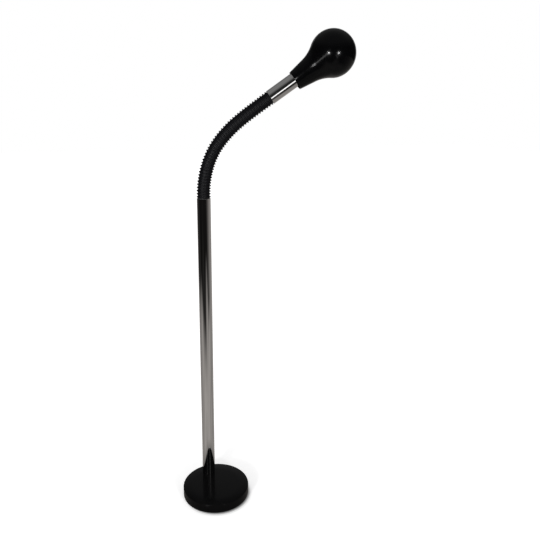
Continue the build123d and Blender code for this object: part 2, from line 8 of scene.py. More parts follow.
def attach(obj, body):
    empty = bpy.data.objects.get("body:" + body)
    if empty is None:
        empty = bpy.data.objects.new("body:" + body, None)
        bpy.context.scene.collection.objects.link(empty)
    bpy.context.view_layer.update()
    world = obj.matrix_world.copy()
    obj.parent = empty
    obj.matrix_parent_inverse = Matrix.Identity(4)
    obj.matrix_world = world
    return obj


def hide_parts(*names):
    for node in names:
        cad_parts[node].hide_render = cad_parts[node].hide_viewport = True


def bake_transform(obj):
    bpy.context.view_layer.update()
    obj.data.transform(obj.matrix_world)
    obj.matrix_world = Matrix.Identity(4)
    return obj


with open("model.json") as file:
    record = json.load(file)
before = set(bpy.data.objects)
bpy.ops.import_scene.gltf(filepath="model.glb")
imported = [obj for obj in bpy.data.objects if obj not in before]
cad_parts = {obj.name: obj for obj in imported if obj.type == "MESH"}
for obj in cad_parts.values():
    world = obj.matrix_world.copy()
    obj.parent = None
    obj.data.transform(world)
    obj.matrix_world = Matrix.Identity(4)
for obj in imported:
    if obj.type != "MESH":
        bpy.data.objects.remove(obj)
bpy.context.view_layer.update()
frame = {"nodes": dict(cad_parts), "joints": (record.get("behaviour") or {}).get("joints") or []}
bpy.ops.object.select_all(action="DESELECT")

# ---- Camera
# Stands to the left of the lamp's front, a little lower than its shade, and looks a little down from
# close by, so the base is seen from above and the shade from the side.

camera_place = (-0.4469, -1.2811, 1.05765)
camera_heading = 64.703         # degrees from +X towards +Y
camera_dip = 16.379             # degrees below level
camera_roll = 0.868             # degrees
camera_sensor = 36.0            # mm
camera_lens = camera_sensor * 560 / 540
camera_near, camera_far = 0.01, 60

bpy.ops.object.camera_add(location=camera_place)
camera = bpy.context.object
camera.name = "camera"
aim = Matrix.Rotation(math.radians(camera_heading - 90), 4, "Z")
tip = Matrix.Rotation(math.radians(90 - camera_dip), 4, "X")
roll = Matrix.Rotation(math.radians(camera_roll), 4, "Z")
camera.rotation_euler = (aim @ tip @ roll).to_euler()
camera.data.sensor_width = camera_sensor
camera.data.lens = camera_lens
camera.data.clip_start = camera_near
camera.data.clip_end = camera_far
bpy.context.scene.camera = camera

# ---- Felt pad
# A disc of pressed black felt glued under the bottom plate, with three holes for the plate's
# screws. It carries the whole lamp and keeps the steel off the floor.


def principled(name, color, roughness, metallic=0.0):
    """A new material with its plain values on the shader's own sockets."""
    material = bpy.data.materials.new(name)
    material.use_nodes = True
    shader = material.node_tree.nodes["Principled BSDF"]
    shader.inputs["Base Color"].default_value = (*color, 1)
    shader.inputs["Roughness"].default_value = roughness
    shader.inputs["Metallic"].default_value = metallic
    return material, shader


def add_node(material, kind, **inputs):
    """A node of this kind, with the plain values of its inputs."""
    node = material.node_tree.nodes.new(kind)
    for socket, value in inputs.items():
        node.inputs[socket.replace("_", " ")].default_value = value
    return node


def wire(material, output, target):
    """Joins two sockets of a material."""
    material.node_tree.links.new(output, target)


def object_pattern(material, kind, stretch=(1, 1, 1), **inputs):
    """A texture node that reads Object coordinates, stretched along the axes."""
    coordinates = add_node(material, "ShaderNodeTexCoord")
    mapping = add_node(material, "ShaderNodeMapping", Scale=stretch)
    texture = add_node(material, kind, **inputs)
    wire(material, coordinates.outputs["Object"], mapping.inputs["Vector"])
    wire(material, mapping.outputs["Vector"], texture.inputs["Vector"])
    return texture


def vary_gloss(material, shader, value, low, high, start=0.0, end=1.0):
    """Lets the roughness follow a pattern, from low at start to high at end."""
    node = add_node(material, "ShaderNodeMapRange", From_Min=start, From_Max=end, To_Min=low, To_Max=high)
    wire(material, value, node.inputs["Value"])
    wire(material, node.outputs["Result"], shader.inputs["Roughness"])


def two_tone(material, shader, value, dark, light, start=0.0, end=1.0):
    """Lets the colour follow a pattern, from dark at start to light at end."""
    node = material.node_tree.nodes.new("ShaderNodeValToRGB")
    node.color_ramp.elements[0].position = start
    node.color_ramp.elements[0].color = (*dark, 1)
    node.color_ramp.elements[1].position = end
    node.color_ramp.elements[1].color = (*light, 1)
    wire(material, value, node.inputs["Fac"])
    wire(material, node.outputs["Color"], shader.inputs["Base Color"])


def raise_surface(material, shader, height, depth):
    """Puts a pattern's height into the shader's normal, this many metres deep."""
    bump = add_node(material, "ShaderNodeBump", Strength=1.0, Distance=depth)
    wire(material, height, bump.inputs["Height"])
    wire(material, bump.outputs["Normal"], shader.inputs["Normal"])


def dress(material, *nodes):
    """Gives nodes of the frame their material."""
    for name in nodes:
        piece = frame["nodes"][name]
        if not piece.material_slots:
            piece.data.materials.append(material)
        for slot in piece.material_slots:
            slot.material = material


felt, felt_shader = principled("felt", (0.02, 0.02, 0.021), 0.95)
fibres = object_pattern(felt, "ShaderNodeTexNoise", stretch=(1, 1, 0.4), Scale=900, Detail=6, Roughness=0.7)
two_tone(felt, felt_shader, fibres.outputs["Fac"], (0.008, 0.008, 0.009), (0.05, 0.05, 0.052), 0.35, 0.75)
raise_surface(felt, felt_shader, fibres.outputs["Fac"], 0.0006)
felt_shader.inputs["Sheen Weight"].default_value = 0.4
dress(felt, "base_pad")

# ---- Bottom plate and zinc-plated fittings
# A stamped steel disc and its three slotted screws close the weight from below. The nuts, washers,
# hollow nipples and threaded plugs of the pole, the neck and the head are plated the same way.


def new_group(name, inputs, outputs):
    """A node group with these number sockets, and its two end nodes."""
    group = bpy.data.node_groups.new(name, "ShaderNodeTree")
    for way, sockets in (("INPUT", inputs), ("OUTPUT", outputs)):
        for socket in sockets:
            group.interface.new_socket(socket, in_out=way, socket_type="NodeSocketFloat")
    return group, group.nodes.new("NodeGroupInput"), group.nodes.new("NodeGroupOutput")


def make_plating_group():
    """Marks of zinc plating: pale crystal patches and dull smudges."""
    group, entry, leave = new_group("plating_marks", ("Grain Size",), ("Patch", "Smudge"))
    coordinates = group.nodes.new("ShaderNodeTexCoord")
    crystals = group.nodes.new("ShaderNodeTexVoronoi")
    smudges = group.nodes.new("ShaderNodeTexNoise")
    smudges.inputs["Detail"].default_value = 5
    finer = group.nodes.new("ShaderNodeMath")
    finer.operation = "MULTIPLY"
    finer.inputs[1].default_value = 0.2
    group.links.new(entry.outputs["Grain Size"], crystals.inputs["Scale"])
    group.links.new(entry.outputs["Grain Size"], finer.inputs[0])
    group.links.new(finer.outputs[0], smudges.inputs["Scale"])
    group.links.new(coordinates.outputs["Object"], crystals.inputs["Vector"])
    group.links.new(coordinates.outputs["Object"], smudges.inputs["Vector"])
    group.links.new(crystals.outputs["Color"], leave.inputs["Patch"])
    group.links.new(smudges.outputs["Fac"], leave.inputs["Smudge"])
    return group


plating_marks = make_plating_group()


def use_group(material, group, **inputs):
    """Places a shared effect in a material with its own values."""
    node = material.node_tree.nodes.new("ShaderNodeGroup")
    node.node_tree = group
    for socket, value in inputs.items():
        node.inputs[socket.replace("_", " ")].default_value = value
    return node


zinc, zinc_shader = principled("zinc_plated_steel", (0.55, 0.56, 0.57), 0.35, metallic=1.0)
zinc_marks = use_group(zinc, plating_marks, Grain_Size=420)
two_tone(zinc, zinc_shader, zinc_marks.outputs["Patch"], (0.46, 0.47, 0.49), (0.62, 0.63, 0.64))
vary_gloss(zinc, zinc_shader, zinc_marks.outputs["Smudge"], 0.24, 0.5, 0.3, 0.7)
dress(zinc, "bottom_plate", "bottom_plate_screws", "foot_nut", "foot_washer", "foot_nipple",
      "pole_foot_plug", "pole_top_plug", "head_lower_plug", "head_upper_plug", "head_nipple",
      "carrier_washer", "carrier_nut", "shade_carrier")

# ---- Weight
# A round grey iron casting under the cover. It is left as cast, with a gritty skin, and holds the
# cable way, the terminals' pocket and the room for the pole's nut.

iron, iron_shader = principled("cast_iron", (0.09, 0.085, 0.08), 0.75, metallic=0.6)
sand = object_pattern(iron, "ShaderNodeTexNoise", Scale=260, Detail=8, Roughness=0.65)
rust = object_pattern(iron, "ShaderNodeTexNoise", Scale=35, Detail=4, Roughness=0.6)
two_tone(iron, iron_shader, rust.outputs["Fac"], (0.075, 0.072, 0.07), (0.13, 0.09, 0.065), 0.45, 0.75)
vary_gloss(iron, iron_shader, sand.outputs["Fac"], 0.6, 0.9, 0.3, 0.7)
raise_surface(iron, iron_shader, sand.outputs["Fac"], 0.0006)
dress(iron, "base_weight")

# ---- Cover of the base
# A shallow drum pressed from thin steel sheet, turned over at its top edge and enamelled in a deep
# gloss black. It drops over the weight and is held down by the foot of the pole.

cover_radius = 0.091
cover_height = 0.030
cover_edge = 0.002
cover_wall = 0.0012
cover_foot = 0.0055         # its lower edge above the floor, over the set-back plate and felt
pole_back = 0.0618          # the pole's axis behind the centre of the base
cover_rings = (0.062, 0.03) # rings on its flat top, for even faces
cover_steps = 160
corner_steps = 6
cover_hole = 0.0066
cover_hole_depth = 0.01
inlet_height = 0.0126
inlet_hole = 0.005
inlet_hole_depth = 0.012
sharp_edge = 32             # degrees, from which an edge shows as one
weld_distance = 2e-6        # points nearer than this become one


def deselect():
    """Nothing is selected and nothing is being edited."""
    if bpy.context.object and bpy.context.object.mode != "OBJECT":
        bpy.ops.object.mode_set(mode="OBJECT")
    bpy.ops.object.select_all(action="DESELECT")


def only(piece):
    """Selects one object and makes it the active one."""
    deselect()
    piece.select_set(True)
    bpy.context.view_layer.objects.active = piece


def soften(piece, sharp):
    """Smooth shading, but not over edges of this many degrees."""
    only(piece)
    bpy.ops.object.shade_smooth_by_angle(angle=math.radians(sharp))


def turn(name, outline, steps, sharp=sharp_edge):
    """Draws a half outline of (radius, height) points and spins it about Z."""
    deselect()
    bpy.ops.mesh.primitive_plane_add(size=0.001, location=(0, 0, 0))
    piece = bpy.context.object
    piece.name = piece.data.name = name
    bpy.ops.object.mode_set(mode="EDIT")
    bpy.ops.mesh.select_all(action="SELECT")
    bpy.ops.mesh.merge(type="CENTER")
    bpy.ops.transform.translate(value=(outline[0][0], 0, outline[0][1]))
    for before, after in zip(outline, outline[1:]):
        step = (after[0] - before[0], 0, after[1] - before[1])
        bpy.ops.mesh.extrude_region_move(TRANSFORM_OT_translate={"value": step})
    bpy.ops.mesh.select_all(action="SELECT")
    bpy.ops.mesh.spin(steps=steps, angle=2 * math.pi, center=(0, 0, 0), axis=(0, 0, 1))
    bpy.ops.mesh.select_all(action="SELECT")
    bpy.ops.mesh.remove_doubles(threshold=weld_distance)
    bpy.ops.mesh.normals_make_consistent(inside=False)
    bpy.ops.object.mode_set(mode="OBJECT")
    soften(piece, sharp)
    return piece


def place(piece, matrix):
    """Moves a finished mesh to its place and leaves its object at the origin."""
    only(piece)
    piece.matrix_world = matrix
    bpy.ops.object.transform_apply(location=True, rotation=True, scale=True)


def apply_modifier(piece, kind, **settings):
    """Adds a modifier to a piece and applies it."""
    only(piece)
    modifier = piece.modifiers.new(kind.lower(), kind)
    for key, value in settings.items():
        setattr(modifier, key, value)
    bpy.ops.object.modifier_apply(modifier=modifier.name)


def round_corner(centre, radius, start, end, count):
    """Points of an arc in the outline's plane, angles in degrees."""
    angles = [math.radians(start + (end - start) * n / count) for n in range(count + 1)]
    return [(centre[0] + radius * math.cos(a), centre[1] + radius * math.sin(a)) for a in angles]


def bore_through(piece, radius, centre, along, length):
    """Drills a round hole with a cutter that is thrown away."""
    deselect()
    turned = Vector(along).to_track_quat("Z", "Y").to_euler()
    bpy.ops.mesh.primitive_cylinder_add(
        vertices=64, radius=radius, depth=length, location=centre, rotation=turned)
    cutter = bpy.context.object
    apply_modifier(piece, "BOOLEAN", object=cutter, operation="DIFFERENCE", solver="EXACT")
    bpy.data.objects.remove(cutter)


def make_gloss_group():
    """Marks of use on a glossy skin: a faint wave, light dust and wiped smears."""
    group, entry, leave = new_group("gloss_marks", ("Wave Size", "Dust Size"), ("Wave", "Smear", "Dust"))
    coordinates = group.nodes.new("ShaderNodeTexCoord")
    wave = group.nodes.new("ShaderNodeTexNoise")
    wave.inputs["Detail"].default_value = 1
    smear = group.nodes.new("ShaderNodeTexNoise")
    smear.inputs["Detail"].default_value = 6
    smear.inputs["Roughness"].default_value = 0.6
    smear.inputs["Distortion"].default_value = 0.8
    smear_scale = group.nodes.new("ShaderNodeMath")
    smear_scale.operation = "MULTIPLY"
    smear_scale.inputs[1].default_value = 0.35
    dust = group.nodes.new("ShaderNodeTexNoise")
    dust.inputs["Detail"].default_value = 2
    specks = group.nodes.new("ShaderNodeMapRange")
    specks.inputs["From Min"].default_value = 0.68
    specks.inputs["From Max"].default_value = 0.78
    for texture in (wave, smear, dust):
        group.links.new(coordinates.outputs["Object"], texture.inputs["Vector"])
    group.links.new(entry.outputs["Wave Size"], wave.inputs["Scale"])
    group.links.new(entry.outputs["Wave Size"], smear_scale.inputs[0])
    group.links.new(smear_scale.outputs[0], smear.inputs["Scale"])
    group.links.new(entry.outputs["Dust Size"], dust.inputs["Scale"])
    group.links.new(dust.outputs["Fac"], specks.inputs["Value"])
    group.links.new(wave.outputs["Fac"], leave.inputs["Wave"])
    group.links.new(smear.outputs["Fac"], leave.inputs["Smear"])
    group.links.new(specks.outputs["Result"], leave.inputs["Dust"])
    return group


gloss_marks = make_gloss_group()

enamel, enamel_shader = principled("black_enamel", (0.0011, 0.0011, 0.0013), 0.14)
enamel_marks = use_group(enamel, gloss_marks, Wave_Size=140, Dust_Size=2600)
two_tone(enamel, enamel_shader, enamel_marks.outputs["Dust"], (0.0012, 0.0012, 0.0014), (0.006, 0.006, 0.006))
vary_gloss(enamel, enamel_shader, enamel_marks.outputs["Smear"], 0.12, 0.18, 0.35, 0.7)
raise_surface(enamel, enamel_shader, enamel_marks.outputs["Wave"], 0.000004)
enamel_shader.inputs["Specular IOR Level"].default_value = 0.15

corner_middle = (cover_radius - cover_edge, cover_height - cover_edge)
cover_outline = [(cover_radius - cover_wall, cover_foot), (cover_radius, cover_foot)]
cover_outline += round_corner(corner_middle, cover_edge, 0, 90, corner_steps)
cover_outline += [(radius, cover_height) for radius in (*cover_rings, 0)]
cover_outline += [(0, cover_height - cover_wall), (cover_radius - cover_wall, cover_height - cover_wall)]
cover_outline += [cover_outline[0]]
cover = turn("base_cover_shell", cover_outline, cover_steps)
bore_through(cover, cover_hole, (0, pole_back, cover_height), (0, 0, 1), cover_hole_depth)
bore_through(cover, inlet_hole, (0, cover_radius, inlet_height), (0, 1, 0), inlet_hole_depth)
soften(cover, sharp_edge)
cover.data.materials.append(enamel)
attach(cover, "stand")
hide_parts("base_cover")

# ---- Bush of the cord inlet
# A moulded rubber bush in the back of the cover, gripping the sheet between two flanges. The mains
# lead of such a lamp comes in here.

bush_rubber, bush_shader = principled("bush_rubber", (0.015, 0.015, 0.015), 0.7)
bloom = object_pattern(bush_rubber, "ShaderNodeTexNoise", Scale=500, Detail=4)
two_tone(bush_rubber, bush_shader, bloom.outputs["Fac"], (0.01, 0.01, 0.01), (0.03, 0.03, 0.031))
vary_gloss(bush_rubber, bush_shader, bloom.outputs["Fac"], 0.55, 0.85)
dress(bush_rubber, "inlet_grommet")

# ---- Terminal block
# An off-white moulded block hung in the weight's pocket, with a brass screw for each wire of the
# lead.

pale_plastic, pale_shader = principled("pale_moulding", (0.72, 0.7, 0.64), 0.45)
mould = object_pattern(pale_plastic, "ShaderNodeTexNoise", Scale=320, Detail=4)
two_tone(pale_plastic, pale_shader, mould.outputs["Fac"], (0.68, 0.66, 0.6), (0.76, 0.74, 0.69))
vary_gloss(pale_plastic, pale_shader, mould.outputs["Fac"], 0.38, 0.55)
dress(pale_plastic, "terminal_block", "holder_block")

brass, brass_shader = principled("brass", (0.72, 0.53, 0.24), 0.3, metallic=1.0)
brass_marks = use_group(brass, plating_marks, Grain_Size=600)
two_tone(brass, brass_shader, brass_marks.outputs["Smudge"], (0.6, 0.42, 0.17), (0.78, 0.6, 0.3), 0.3, 0.7)
vary_gloss(brass, brass_shader, brass_marks.outputs["Smudge"], 0.2, 0.42, 0.3, 0.7)
dress(brass, "terminal_screws", "thread_shell", "holder_contacts")

# ---- Pole
# A straight steel tube, polished and chromed, standing on the cover. Its ends are cut square and
# lightly broken. A nipple and nut under the weight pull it down.

tube_radius = 0.0175
tube_bore = 0.016
tube_break = 0.0003
tube_steps, tube_sharp = 128, 20
pole_foot = cover_height
pole_top = 0.831


def polished_chrome(name, origin, turned):
    """Chrome over drawn tube, with smears and faint polishing lines along it."""
    material, shader = principled(name, (0.8, 0.795, 0.785), 0.03, metallic=1.0)
    marks = use_group(material, gloss_marks, Wave_Size=30)
    vary_gloss(material, shader, marks.outputs["Smear"], 0.02, 0.055, 0.35, 0.75)
    coordinates = add_node(material, "ShaderNodeTexCoord")
    along_tube = add_node(material, "ShaderNodeMapping", Location=origin, Rotation=turned, Scale=(1, 1, 80))
    along_tube.vector_type = "TEXTURE"
    lines = add_node(material, "ShaderNodeTexNoise", Scale=420, Detail=3, Roughness=0.6)
    wire(material, coordinates.outputs["Object"], along_tube.inputs["Vector"])
    wire(material, along_tube.outputs["Vector"], lines.inputs["Vector"])
    two_tone(material, shader, lines.outputs["Fac"], (0.64, 0.635, 0.625), (0.95, 0.945, 0.935), 0.28, 0.72)
    return material


pole_chrome = polished_chrome("pole_chrome", (0, pole_back, 0), (0, 0, 0))


def tube_outline(foot, top):
    """Half outline of a tube with both its ends lightly broken."""
    return [
        (tube_bore, foot), (tube_radius - tube_break, foot), (tube_radius, foot + tube_break),
        (tube_radius, top - tube_break), (tube_radius - tube_break, top), (tube_bore, top), (tube_bore, foot),
    ]


pole = turn("pole_chromed_tube", tube_outline(pole_foot, pole_top), tube_steps, tube_sharp)
place(pole, Matrix.Translation((0, pole_back, 0)))
pole.data.materials.append(pole_chrome)
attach(pole, "stand")
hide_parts("pole_tube")

# ---- Core of the neck
# A close-wound steel core inside the sleeve, drawn here as short plated links, each with a ball
# in the socket of the one below. None of it shows while the sleeve is on.

link_count = 14
dress(zinc, *[f"core_link_{number:02d}" for number in range(1, link_count + 1)])

# ---- Ribbed sleeve of the neck
# A black vinyl sleeve with narrow rounded ribs, drawn over the core from the pole to the head
# tube. Each piece spans one joint, from the middle of a link to the middle of the next.

rib_pitch = 0.0074
rib_crest = 0.0175
rib_valley = 0.0150
rib_top = 0.0008            # half the width of a rib's flat top
rib_foot = 0.0021           # half the width of a rib at its foot
sleeve_bore = 0.0117
rib_steps = 20              # levels of the outline over one rib
ribs_per_link = 3
link_length = ribs_per_link * rib_pitch

hinge_joints = [joint for joint in frame["joints"] if joint["name"].startswith("neck_")]
shade_joint = next(joint for joint in frame["joints"] if joint["name"] == "shade_turn")
head_axis = Vector(shade_joint["axis"])
head_across = Vector((head_axis.x, head_axis.y, 0)).normalized()
head_across = (head_across - head_axis * head_across.dot(head_axis)).normalized()
head_side = head_axis.cross(head_across)
hinges = [Vector((0, pole_back, pole_top))]
hinges += [Vector(joint["pos_m"]) for joint in hinge_joints]
hinges += [hinges[-1] + head_axis * link_length]
neck_end = hinges[-1]

vinyl, vinyl_shader = principled("ribbed_vinyl", (0.0035, 0.0035, 0.0045), 0.5)
vinyl_marks = use_group(vinyl, gloss_marks, Wave_Size=420, Dust_Size=1500)
two_tone(vinyl, vinyl_shader, vinyl_marks.outputs["Dust"], (0.0035, 0.0035, 0.0046), (0.012, 0.012, 0.0125))
vary_gloss(vinyl, vinyl_shader, vinyl_marks.outputs["Smear"], 0.42, 0.58, 0.3, 0.7)
raise_surface(vinyl, vinyl_shader, vinyl_marks.outputs["Wave"], 0.00002)
vinyl_shader.inputs["Specular IOR Level"].default_value = 0.14


def rib_radius(offset):
    """Outer radius this far from the middle of the nearest rib."""
    fall = min(max((abs(offset) - rib_top) / (rib_foot - rib_top), 0), 1)
    return rib_crest - (rib_crest - rib_valley) * (3 * fall**2 - 2 * fall**3)


def sleeve_outline(start, end):
    """Half outline of the sleeve between two stations, measured from the foot of the neck."""
    count = round((end - start) / rib_pitch * rib_steps)
    levels = [start + (end - start) * n / count for n in range(count + 1)]
    outline = [(rib_radius((level % rib_pitch) - rib_pitch / 2), level - start) for level in levels]
    return [(sleeve_bore, 0)] + outline + [(sleeve_bore, end - start), (sleeve_bore, 0)]


def bent_curve(start, corner, end):
    """A curve that leaves start towards a corner and comes to end from it."""
    deselect()
    bpy.ops.curve.primitive_bezier_curve_add(location=(0, 0, 0))
    curve = bpy.context.object
    first, last = curve.data.splines[0].bezier_points
    for point in (first, last):
        point.handle_left_type = point.handle_right_type = "FREE"
    first.co, last.co = start, end
    first.handle_right = start + (corner - start) * 2 / 3
    first.handle_left = start - (corner - start) * 2 / 3
    last.handle_left = end + (corner - end) * 2 / 3
    last.handle_right = end - (corner - end) * 2 / 3
    return curve


def lie_along(piece, start, corner, end):
    """Bends a piece that stands on Z along the curve from start to end."""
    place(piece, Matrix.Rotation(math.radians(90), 4, "Y"))
    path = bent_curve(start, corner, end)
    path.data.resolution_u = 48
    path.data.use_stretch = True
    path.data.use_deform_bounds = True
    path.data.twist_mode = "MINIMUM"
    apply_modifier(piece, "CURVE", object=path, deform_axis="POS_X")
    bpy.data.objects.remove(path)
    only(piece)
    bpy.ops.object.mode_set(mode="EDIT")
    bpy.ops.mesh.select_all(action="SELECT")
    bpy.ops.mesh.normals_make_consistent(inside=False)
    bpy.ops.object.mode_set(mode="OBJECT")


def copy_of(piece, name):
    """A copy with a mesh of its own."""
    only(piece)
    bpy.ops.object.duplicate(linked=False)
    twin = bpy.context.object
    twin.name = twin.data.name = name
    return twin


def on_head_axis(origin):
    """The place of a piece that stands along the head's axis from this origin."""
    turned = Matrix((head_across, head_side, head_axis)).transposed().to_4x4()
    return Matrix.Translation(origin) @ turned


def run_along_neck(pattern, name, material):
    """Copies a pattern over each joint of the neck and bends each copy along a curve across its joint."""
    pieces = []
    for number, joint in enumerate(hinge_joints, start=1):
        piece = copy_of(pattern, f"{name}_{number:02d}")
        start = (hinges[number - 1] + hinges[number]) / 2
        end = (hinges[number] + hinges[number + 1]) / 2
        lie_along(piece, start, hinges[number], end)
        piece.data.materials.append(material)
        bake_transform(piece)
        pieces.append(piece)
    bpy.data.objects.remove(pattern)
    return pieces


half_link = link_length / 2
sleeve_steps, sleeve_sharp = 80, 50
sleeve_foot = turn("sleeve_foot", sleeve_outline(0, half_link), sleeve_steps, sleeve_sharp)
place(sleeve_foot, Matrix.Translation(hinges[0]))
sleeve_head = turn("sleeve_head", sleeve_outline(half_link, link_length), sleeve_steps, sleeve_sharp)
place(sleeve_head, on_head_axis(neck_end - head_axis * half_link))
sleeve_middle = turn("sleeve_pattern", sleeve_outline(half_link, half_link + link_length),
                     sleeve_steps, sleeve_sharp)

for piece, body, node in (
        (sleeve_foot, "stand", "sleeve_length_01"), (sleeve_head, "head", f"sleeve_length_{link_count}")):
    piece.data.materials.append(vinyl)
    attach(piece, body)
    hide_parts(node)

for number, piece in enumerate(run_along_neck(sleeve_middle, "sleeve_joint", vinyl), start=1):
    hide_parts(f"sleeve_length_{number:02d}", f"sleeve_length_{number + 1:02d}")

# ---- Inner lead
# A round lead in a black jacket runs from the terminals up the pole, through the hollow links and
# the head tube to the lampholder. In the neck it is drawn in pieces, each bent across one joint.

lead_radius = 0.0028
lead_rings = 6              # rings along one link, so that it bends evenly
lead_steps, lead_sharp = 24, 40

jacket, jacket_shader = principled("lead_jacket", (0.02, 0.02, 0.02), 0.5)
talc = object_pattern(jacket, "ShaderNodeTexNoise", Scale=700, Detail=3)
two_tone(jacket, jacket_shader, talc.outputs["Fac"], (0.014, 0.014, 0.014), (0.03, 0.03, 0.03))
vary_gloss(jacket, jacket_shader, talc.outputs["Fac"], 0.42, 0.6)
dress(jacket, "stand_lead", "head_lead")

lead_outline = [(0, 0), (lead_radius, 0)]
lead_outline += [(lead_radius, link_length * n / lead_rings) for n in range(1, lead_rings + 1)]
lead_outline += [(0, link_length)]
lead_run = turn("lead_pattern", lead_outline, lead_steps, lead_sharp)
for piece in run_along_neck(lead_run, "neck_lead_run", jacket):
    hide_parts("neck_lead")

# ---- Head tube
# A short chromed tube of the pole's size, plugged onto the end of the neck. Its upper end stands
# inside the shade's neck and carries the nipple.

head_tube_length = 0.094
head_tube = turn("head_chromed_tube", tube_outline(0, head_tube_length), tube_steps, tube_sharp)
head_place = on_head_axis(neck_end)
place(head_tube, head_place)
head_tube.data.materials.append(polished_chrome("head_tube_chrome", neck_end, head_place.to_euler()))
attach(head_tube, "head")
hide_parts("head_tube")

# ---- Shade
# Spun from thin sheet as one pear: a short cone, a hollow curve and a ball with a round mouth in
# its side, whose edge is rolled over. It is black gloss outside and in its neck, and white inside.

shade_neck = 0.0232
shade_flare = math.radians(9.3)
shade_hollow = 0.086
shade_ball = 0.0561
shade_ball_height = 0.1103
shade_wall = 0.0015
shade_sag = 0.0024
head_tube_bare = 0.0715
mouth_radius = 0.042
mouth_angle = math.radians(75)
mouth_turn = math.radians(55)
rim_round = 0.0013
shade_break = 0.0005        # its cut edges are broken by this much
shade_steps = 144
cone_steps, hollow_steps, ball_steps = 4, 20, 45
shade_dark = 0.04           # the inside of the neck is sprayed black this far up
shade_sharp = 60


def pear_outline():
    """Half outline of the shade's outer skin, from the edge of its neck to the far end."""
    along = Vector((math.sin(shade_flare), math.cos(shade_flare)))
    outward = Vector((math.cos(shade_flare), -math.sin(shade_flare)))
    foot = Vector((shade_neck, 0))
    ball = Vector((0, shade_ball_height))
    start = foot + outward * shade_hollow - ball
    middle = start.dot(along)
    run = -middle - math.sqrt(middle**2 - start.length_squared + (shade_hollow + shade_ball)**2)
    cone_end = foot + along * run
    centre = cone_end + outward * shade_hollow
    to_ball = math.atan2(ball.y - centre.y, ball.x - centre.x)
    to_cone = math.atan2(-outward.y, -outward.x)
    points = [tuple(foot + along * run * n / cone_steps) for n in range(cone_steps)]
    for n in range(hollow_steps):
        angle = to_cone + (to_ball - to_cone) * n / hollow_steps
        points.append((centre.x + shade_hollow * math.cos(angle), centre.y + shade_hollow * math.sin(angle)))
    join = centre + Vector((math.cos(to_ball), math.sin(to_ball))) * shade_hollow
    first = math.atan2(join.y - ball.y, join.x)
    for n in range(ball_steps):
        angle = first + (math.pi / 2 - first) * n / ball_steps
        points.append((shade_ball * math.cos(angle), ball.y + shade_ball * math.sin(angle)))
    return points + [(0, shade_ball_height + shade_ball)]


white_enamel, white_shader = principled("white_enamel", (0.78, 0.775, 0.75), 0.3)
white_marks = use_group(white_enamel, gloss_marks, Wave_Size=200)
two_tone(white_enamel, white_shader, white_marks.outputs["Smear"],
         (0.74, 0.73, 0.7), (0.8, 0.795, 0.78), 0.3, 0.7)
vary_gloss(white_enamel, white_shader, white_marks.outputs["Smear"], 0.22, 0.4)
raise_surface(white_enamel, white_shader, white_marks.outputs["Wave"], 0.00001)

shade_origin = neck_end + head_axis * head_tube_bare + head_across * shade_sag
mouth_side = head_across * math.cos(mouth_turn) + head_side * math.sin(mouth_turn)
mouth_facing = head_axis * math.cos(mouth_angle) + mouth_side * math.sin(mouth_angle)
ball_middle = shade_origin + head_axis * shade_ball_height
mouth_middle = ball_middle + mouth_facing * math.sqrt(shade_ball**2 - mouth_radius**2)

shade = turn("shade_shell", pear_outline(), shade_steps, shade_sharp)
place(shade, on_head_axis(shade_origin))
only(shade)
bpy.ops.object.mode_set(mode="EDIT")
bpy.ops.mesh.select_all(action="SELECT")
bpy.ops.mesh.bisect(plane_co=mouth_middle, plane_no=mouth_facing, clear_outer=True, clear_inner=False)
bpy.ops.object.mode_set(mode="OBJECT")
shade.data.materials.append(enamel)
shade.data.materials.append(white_enamel)
apply_modifier(shade, "SOLIDIFY", thickness=shade_wall, offset=-1, use_even_offset=True,
               material_offset=1, material_offset_rim=0)
for face in shade.data.polygons:
    if (face.center - shade_origin).dot(head_axis) < shade_dark:
        face.material_index = 0
apply_modifier(shade, "BEVEL", width=shade_break, segments=3, limit_method="ANGLE",
               angle_limit=math.radians(50))
deselect()
bpy.ops.mesh.primitive_torus_add(
    major_radius=mouth_radius - shade_wall / 2, minor_radius=rim_round,
    major_segments=shade_steps, minor_segments=16,
    location=mouth_middle, rotation=mouth_facing.to_track_quat("Z", "Y").to_euler())
bead = bpy.context.object
bead.data.materials.append(enamel)
apply_modifier(shade, "BOOLEAN", object=bead, operation="UNION", solver="EXACT")
bpy.data.objects.remove(bead)
soften(shade, shade_sharp)
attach(shade, "shade")
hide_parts("shade")

# ---- Lampholder
# A screw lampholder on the nipple: a black phenolic cap and outer shell, an insulating block and a
# threaded brass shell with its contacts.

phenolic, phenolic_shader = principled("black_phenolic", (0.018, 0.017, 0.016), 0.35)
flow = object_pattern(phenolic, "ShaderNodeTexNoise", Scale=260, Detail=5, Distortion=1.5)
two_tone(phenolic, phenolic_shader, flow.outputs["Fac"], (0.012, 0.011, 0.011), (0.03, 0.026, 0.023))
vary_gloss(phenolic, phenolic_shader, flow.outputs["Fac"], 0.25, 0.5)
dress(phenolic, "holder_cap", "holder_shell")

# ---- Bulb
# A small ball bulb of opal glass in a pressed aluminium screw cap.

cap_metal, cap_shader = principled("bulb_cap_aluminium", (0.75, 0.75, 0.76), 0.35, metallic=1.0)
cap_thread = object_pattern(cap_metal, "ShaderNodeTexNoise", Scale=300, Detail=3)
vary_gloss(cap_metal, cap_shader, cap_thread.outputs["Fac"], 0.25, 0.45)
dress(cap_metal, "bulb_cap")

